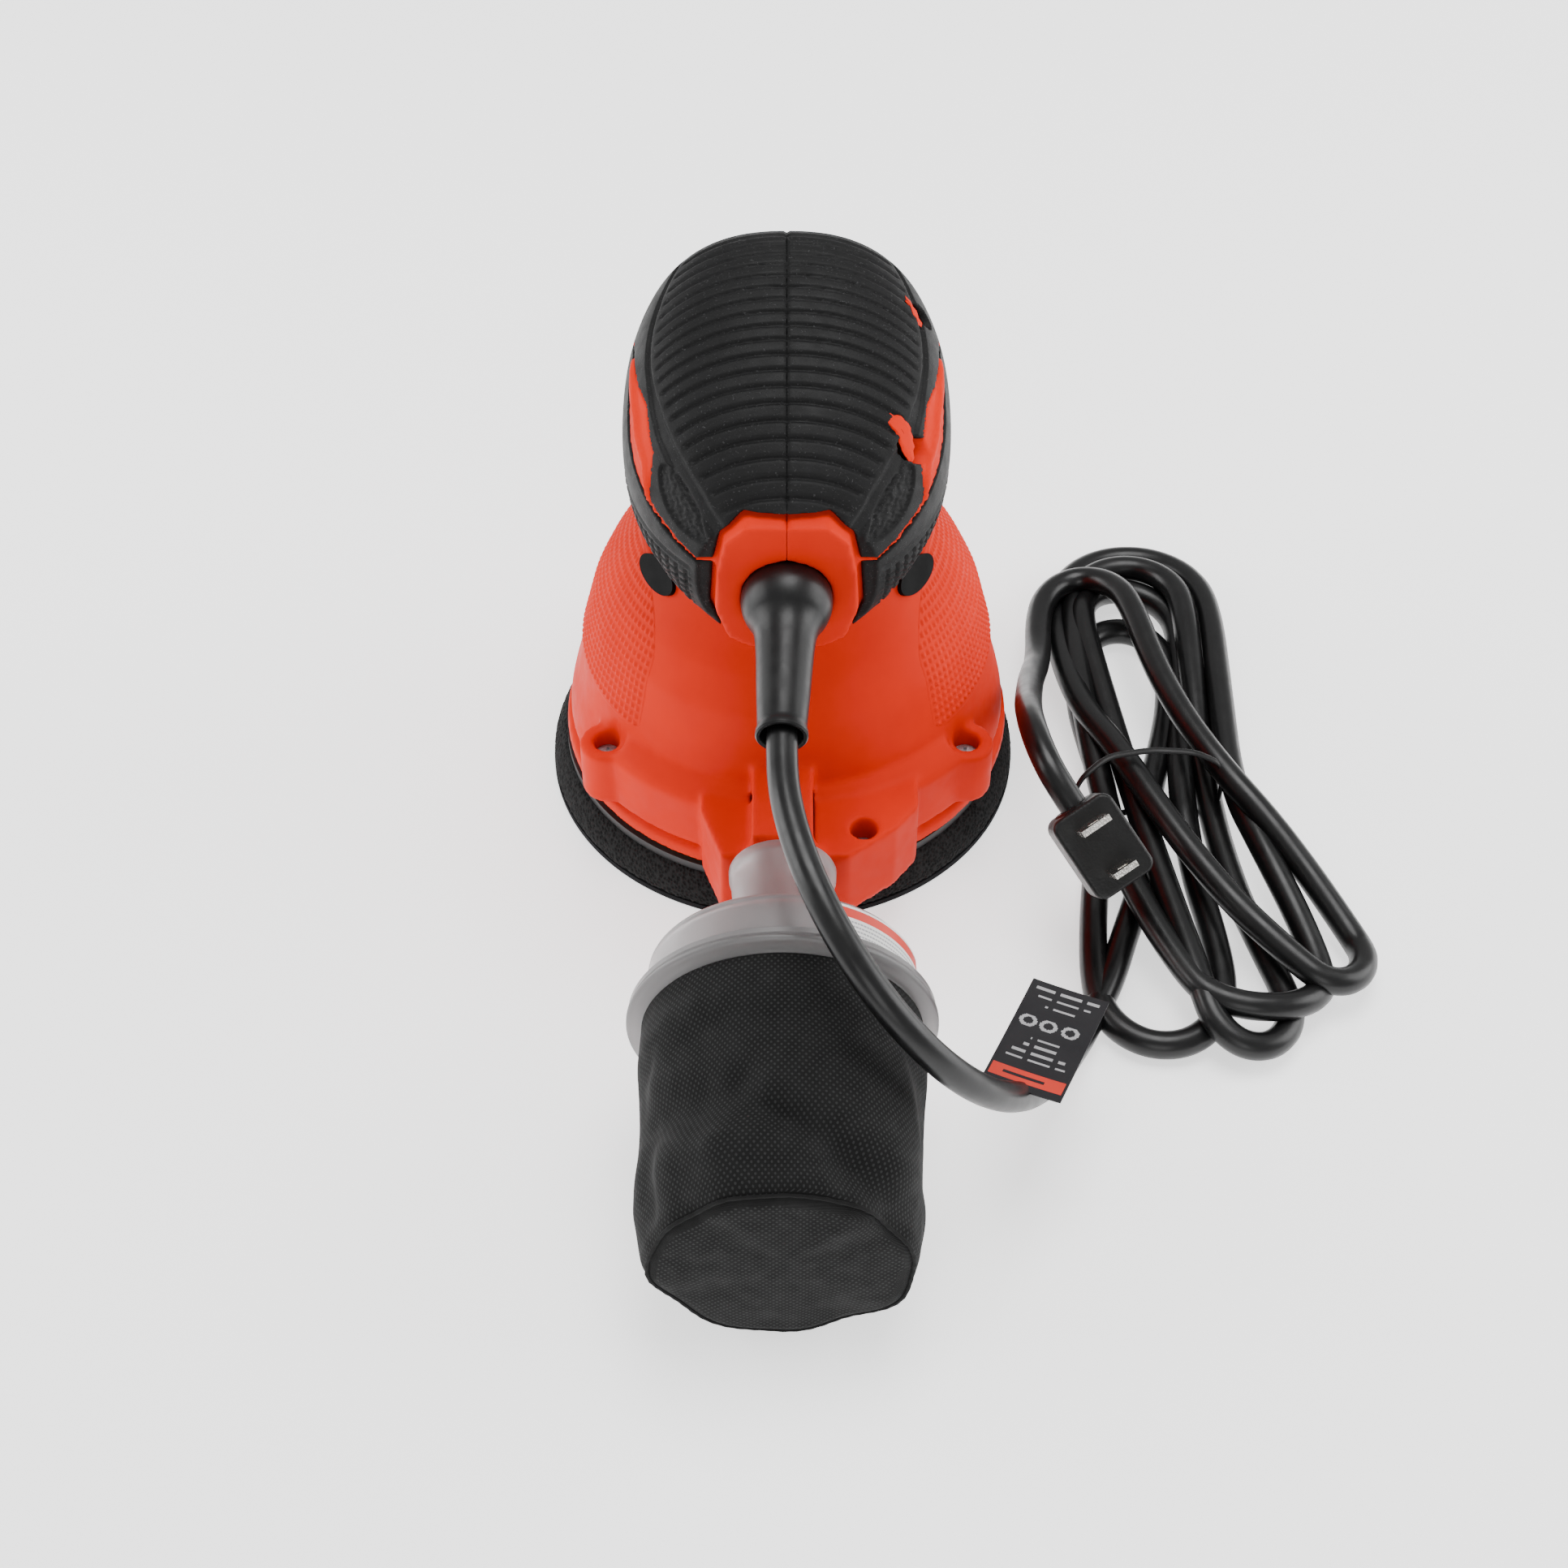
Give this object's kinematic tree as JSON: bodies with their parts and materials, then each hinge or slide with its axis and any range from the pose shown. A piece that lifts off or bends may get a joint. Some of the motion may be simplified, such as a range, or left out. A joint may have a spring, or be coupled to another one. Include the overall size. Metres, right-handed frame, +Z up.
{
  "type": "random-orbit sander",
  "caption": "Palm sander with a round orbiting pad, grip-covered motor head, rocker switch, rear dust cup with cloth filter, and mains cord with plug.",
  "frame": {"origin": "on the sanding face, on the motor's axis", "axes": "+Z up along the motor's axis, +Y forwards to the nose with its rocker switch, -Y back to the dust filter, +X to the user's right"},
  "size_m": [0.213, 0.266, 0.1496],
  "materials": {
    "orange_plastic": "fine moulded texture",
    "black_rubber": "soft moulded grip",
    "black_plastic": "fine moulded texture",
    "badge_plastic": "satin",
    "tan_rubber": "matt",
    "screw_steel": "zinc plated",
    "bearing_steel": "ground",
    "lamination_steel": "varnished stack",
    "copper_wire": "enamelled wire",
    "copper_bars": "turned copper",
    "brass": "pressed sheet",
    "brass_plated": "nickel plated",
    "carbon": "pressed carbon",
    "cast_alloy": "die cast",
    "weight_steel": "sintered",
    "grey_plastic": "moulded",
    "rocker_plastic": "satin",
    "cord_pvc": "satin vinyl",
    "plug_pvc": "moulded vinyl",
    "boot_rubber": "satin",
    "tie_plastic": "coated wire",
    "tag_card": "printed sheet",
    "pad_foam": "foam",
    "hook_fabric": "hook and loop",
    "frosted_plastic": "smoked, frosted",
    "label_paper": "printed film",
    "bag_fabric": "non-woven felt"
  },
  "bodies": {
    "root": {"left_housing": "orange_plastic", "right_housing": "orange_plastic", "left_top_grip": "black_rubber", "right_top_grip": "black_rubber", "left_side_grip": "black_rubber", "right_side_grip": "black_rubber", "shroud": "orange_plastic", "side_badges": "badge_plastic", "brake_ring": "tan_rubber", "fan_baffle": "black_plastic", "baffle_screws": "screw_steel", "shroud_screws": "screw_steel", "housing_screws": "screw_steel", "lower_bearing_outer_ring": "bearing_steel", "upper_bearing_outer_ring": "bearing_steel", "bearing_sleeve": "black_rubber", "field_core": "lamination_steel", "field_coils": "copper_wire", "brush_holders": "brass", "left_brush_spring": "screw_steel", "right_brush_spring": "screw_steel", "switch_body": "black_plastic", "switch_surround": "black_plastic", "internal_leads": "cord_pvc", "cord_clamp": "black_plastic", "clamp_screws": "screw_steel", "strain_relief_boot": "boot_rubber", "cord_lead": "cord_pvc", "cord_hank": "cord_pvc", "cord_tail": "cord_pvc", "hank_tie": "tie_plastic", "plug_body": "plug_pvc", "plug_blades": "brass_plated", "cord_tag": "tag_card"},
    "rotor": {"motor_shaft": "bearing_steel", "armature_core": "lamination_steel", "armature_windings": "copper_wire", "commutator": "copper_bars", "fan": "grey_plastic", "bearing_carrier": "cast_alloy", "counterweight": "weight_steel", "lower_bearing_inner_ring": "bearing_steel", "upper_bearing_inner_ring": "bearing_steel", "pad_bearing_outer_ring": "bearing_steel"},
    "pad": {"pad_bearing_inner_ring": "bearing_steel", "pad_hub": "cast_alloy", "pad_plate": "black_plastic", "pad_foam": "pad_foam", "hook_layer": "hook_fabric", "pad_screws": "screw_steel"},
    "rocker": {"switch_rocker": "rocker_plastic"},
    "left_carbon": {"left_brush": "carbon"},
    "right_carbon": {"right_brush": "carbon"},
    "cup": {"dust_cup": "frosted_plastic", "cup_label": "label_paper"},
    "filter": {"filter_frame": "frosted_plastic", "filter_bag": "bag_fabric"}
  },
  "joints": [
    {"name": "rotor_spin", "type": "hinge", "parent": "root", "child": "rotor", "pos_m": [0, 0, 0], "axis": [0, 0, 1], "continuous": true},
    {"name": "pad_spin", "type": "hinge", "parent": "rotor", "child": "pad", "pos_m": [-0.001, 0, 0], "axis": [0, 0, 1], "continuous": true},
    {"name": "rocker_tilt", "type": "hinge", "parent": "root", "child": "rocker", "pos_m": [0, 0.041, 0.112], "axis": [1, 0, 0], "range_deg": [0, 12]},
    {"name": "left_brush_slide", "type": "slide", "parent": "root", "child": "left_carbon", "axis": [-1, 0, 0], "range_m": [0, 0.003], "stiffness_N_per_m": 300, "springref_m": -0.004, "deforming": ["left_brush_spring"]},
    {"name": "right_brush_slide", "type": "slide", "parent": "root", "child": "right_carbon", "axis": [1, 0, 0], "range_m": [0, 0.003], "stiffness_N_per_m": 300, "springref_m": -0.004, "deforming": ["right_brush_spring"]},
    {"name": "cup_slide", "type": "slide", "parent": "root", "child": "cup", "axis": [0, -0.9969, -0.0785], "range_m": [0, 0.03]},
    {"name": "filter_slide", "type": "slide", "parent": "cup", "child": "filter", "axis": [0, -0.9969, -0.0785], "range_m": [0, 0.012]}
  ]
}
